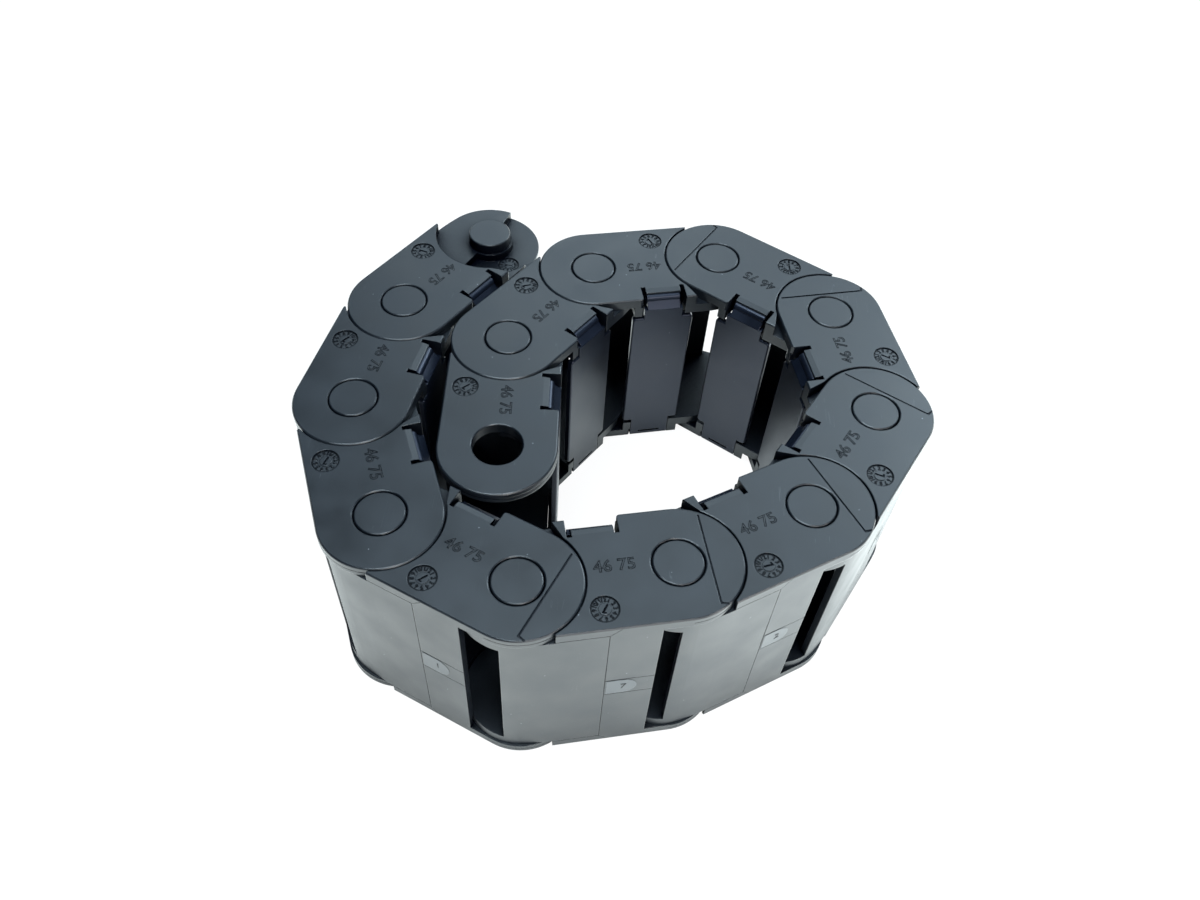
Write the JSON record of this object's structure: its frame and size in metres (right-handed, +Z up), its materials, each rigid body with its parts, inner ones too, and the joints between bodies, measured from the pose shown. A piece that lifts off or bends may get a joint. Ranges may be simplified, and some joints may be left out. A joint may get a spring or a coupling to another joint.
{
  "type": "cable drag chain",
  "caption": "Coiled cable drag chain lying on its side: one-piece plastic links that hinge on moulded pins, each closed by a snap-in lid that swings open.",
  "frame": {"origin": "middle of the coil's footprint, on the surface that its lower side plates lie on", "axes": "+Z up along the pivots, +X along the coil's longest extent, +Y towards the end with the free pins"},
  "size_m": [0.2042, 0.1828, 0.0746],
  "materials": {
    "link": "satin moulded polyamide",
    "lid": "satin moulded polyamide"
  },
  "bodies": {
    "link_01": {"link_01_body": "link", "link_01_lid": "lid"},
    "link_02": {"link_02_body": "link", "link_02_lid": "lid"},
    "link_03": {"link_03_body": "link", "link_03_lid": "lid"},
    "link_04": {"link_04_body": "link", "link_04_lid": "lid"},
    "link_05": {"link_05_body": "link", "link_05_lid": "lid"},
    "link_06": {"link_06_body": "link"},
    "link_07": {"link_07_body": "link"},
    "link_08": {"link_08_body": "link"},
    "link_09": {"link_09_body": "link"},
    "link_10": {"link_10_body": "link"},
    "link_11": {"link_11_body": "link"},
    "link_12": {"link_12_body": "link"},
    "lid_06": {"link_06_lid": "lid"},
    "lid_07": {"link_07_lid": "lid"},
    "lid_08": {"link_08_lid": "lid"},
    "lid_09": {"link_09_lid": "lid"},
    "lid_10": {"link_10_lid": "lid"},
    "lid_11": {"link_11_lid": "lid"},
    "lid_12": {"link_12_lid": "lid"}
  },
  "joints": [
    {"name": "pivot_02", "type": "hinge", "parent": "link_02", "child": "link_01", "pos_m": [-0.07557, 0.03445, 0.0373], "axis": [0, 0, -1], "range_deg": [-22.3, 22.7]},
    {"name": "pivot_03", "type": "hinge", "parent": "link_03", "child": "link_02", "pos_m": [-0.0834, -0.01087, 0.0373], "axis": [0, 0, -1], "range_deg": [-31.4, 13.6]},
    {"name": "pivot_04", "type": "hinge", "parent": "link_04", "child": "link_03", "pos_m": [-0.06647, -0.05364, 0.0373], "axis": [0, 0, -1], "range_deg": [-44.1, 0.9]},
    {"name": "pivot_05", "type": "hinge", "parent": "link_05", "child": "link_04", "pos_m": [-0.02454, -0.07257, 0.0373], "axis": [0, 0, -1], "range_deg": [-37.2, 7.8]},
    {"name": "pivot_06", "type": "hinge", "parent": "link_06", "child": "link_05", "pos_m": [0.0203, -0.06231, 0.0373], "axis": [0, 0, -1], "range_deg": [-17.8, 27.2]},
    {"name": "pivot_07", "type": "hinge", "parent": "link_07", "child": "link_06", "pos_m": [0.05985, -0.03882, 0.0373], "axis": [0, 0, -1], "range_deg": [-28.8, 16.2]},
    {"name": "pivot_08", "type": "hinge", "parent": "link_07", "child": "link_08", "pos_m": [0.0832, 0.00081, 0.0373], "axis": [0, 0, 1], "range_deg": [-44.4, 0.6]},
    {"name": "pivot_09", "type": "hinge", "parent": "link_08", "child": "link_09", "pos_m": [0.07215, 0.04547, 0.0373], "axis": [0, 0, 1], "range_deg": [-44.9, 0]},
    {"name": "pivot_10", "type": "hinge", "parent": "link_09", "child": "link_10", "pos_m": [0.0328, 0.0693, 0.0373], "axis": [0, 0, 1], "range_deg": [-44.5, 0.5]},
    {"name": "pivot_11", "type": "hinge", "parent": "link_10", "child": "link_11", "pos_m": [-0.01197, 0.05871, 0.0373], "axis": [0, 0, 1], "range_deg": [-42, 3]},
    {"name": "pivot_12", "type": "hinge", "parent": "link_11", "child": "link_12", "pos_m": [-0.03815, 0.0209, 0.0373], "axis": [0, 0, 1], "range_deg": [-37.4, 7.6]},
    {"name": "lid_06_swing", "type": "hinge", "parent": "link_06", "child": "lid_06", "pos_m": [0.03286, -0.03763, 0.0718], "axis": [-0.8599, -0.5105, 0], "range_deg": [-90, 0]},
    {"name": "lid_07_swing", "type": "hinge", "parent": "link_07", "child": "lid_07", "pos_m": [0.05897, -0.01115, 0.0718], "axis": [-0.5075, -0.8616, 0], "range_deg": [-90, 0]},
    {"name": "lid_08_swing", "type": "hinge", "parent": "link_08", "child": "lid_08", "pos_m": [0.06321, 0.01997, 0.0718], "axis": [0.2402, -0.9707, 0], "range_deg": [-90, 0]},
    {"name": "lid_09_swing", "type": "hinge", "parent": "link_09", "child": "lid_09", "pos_m": [0.04446, 0.04493, 0.0718], "axis": [0.8554, -0.518, 0], "range_deg": [-90, 0]},
    {"name": "lid_10_swing", "type": "hinge", "parent": "link_10", "child": "lid_10", "pos_m": [0.01343, 0.04951, 0.0718], "axis": [0.9732, 0.23, 0], "range_deg": [-90, 0]},
    {"name": "lid_11_swing", "type": "hinge", "parent": "link_11", "child": "lid_11", "pos_m": [-0.01312, 0.03105, 0.0718], "axis": [0.5693, 0.8221, 0], "range_deg": [-90, 0]},
    {"name": "lid_12_swing", "type": "hinge", "parent": "link_12", "child": "lid_12", "pos_m": [-0.02227, -0.00178, 0.0718], "axis": [-0.0471, 0.9989, 0], "range_deg": [-90, 0]}
  ],
  "couplings": [
    {"joint": "pivot_02", "follows": "pivot_09", "ratio": 0.49666},
    {"joint": "pivot_03", "follows": "pivot_09", "ratio": 0.69933},
    {"joint": "pivot_04", "follows": "pivot_09", "ratio": 0.98218},
    {"joint": "pivot_05", "follows": "pivot_09", "ratio": 0.82853},
    {"joint": "pivot_06", "follows": "pivot_09", "ratio": 0.39644},
    {"joint": "pivot_07", "follows": "pivot_09", "ratio": 0.64143},
    {"joint": "pivot_08", "follows": "pivot_09", "ratio": 0.98886},
    {"joint": "pivot_10", "follows": "pivot_09", "ratio": 0.99109},
    {"joint": "pivot_11", "follows": "pivot_09", "ratio": 0.93541},
    {"joint": "pivot_12", "follows": "pivot_09", "ratio": 0.83296}
  ]
}
